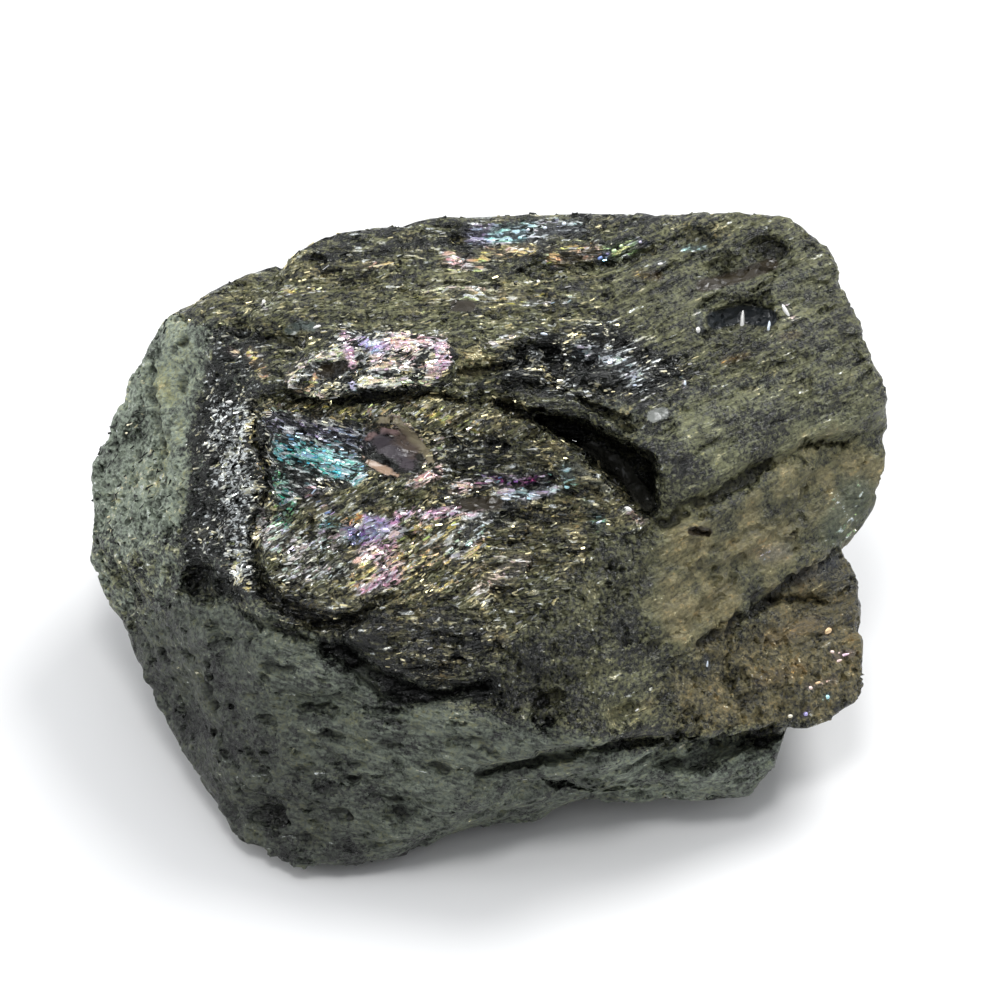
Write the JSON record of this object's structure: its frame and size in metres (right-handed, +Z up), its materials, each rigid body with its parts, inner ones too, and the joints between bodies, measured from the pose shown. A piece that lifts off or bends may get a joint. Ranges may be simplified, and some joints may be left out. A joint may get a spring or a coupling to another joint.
{
  "type": "black tourmaline lump",
  "caption": "Rough blocky lump of black tourmaline with a broad leaning face, a slab along its top and a deep crack, standing on a small flat spot.",
  "frame": {"origin": "on the table, under the middle of the box round the lump", "axes": "+X to the viewer's right along the length of the lump, +Y to the back, +Z up"},
  "size_m": [0.066, 0.0514, 0.0361],
  "materials": {
    "tourmaline": "broken stone, glossy on the fresh ribs and matt where it is dusty, with rainbow sheen on the front"
  },
  "bodies": {
    "root": {"black_tourmaline": "tourmaline"}
  },
  "joints": []
}
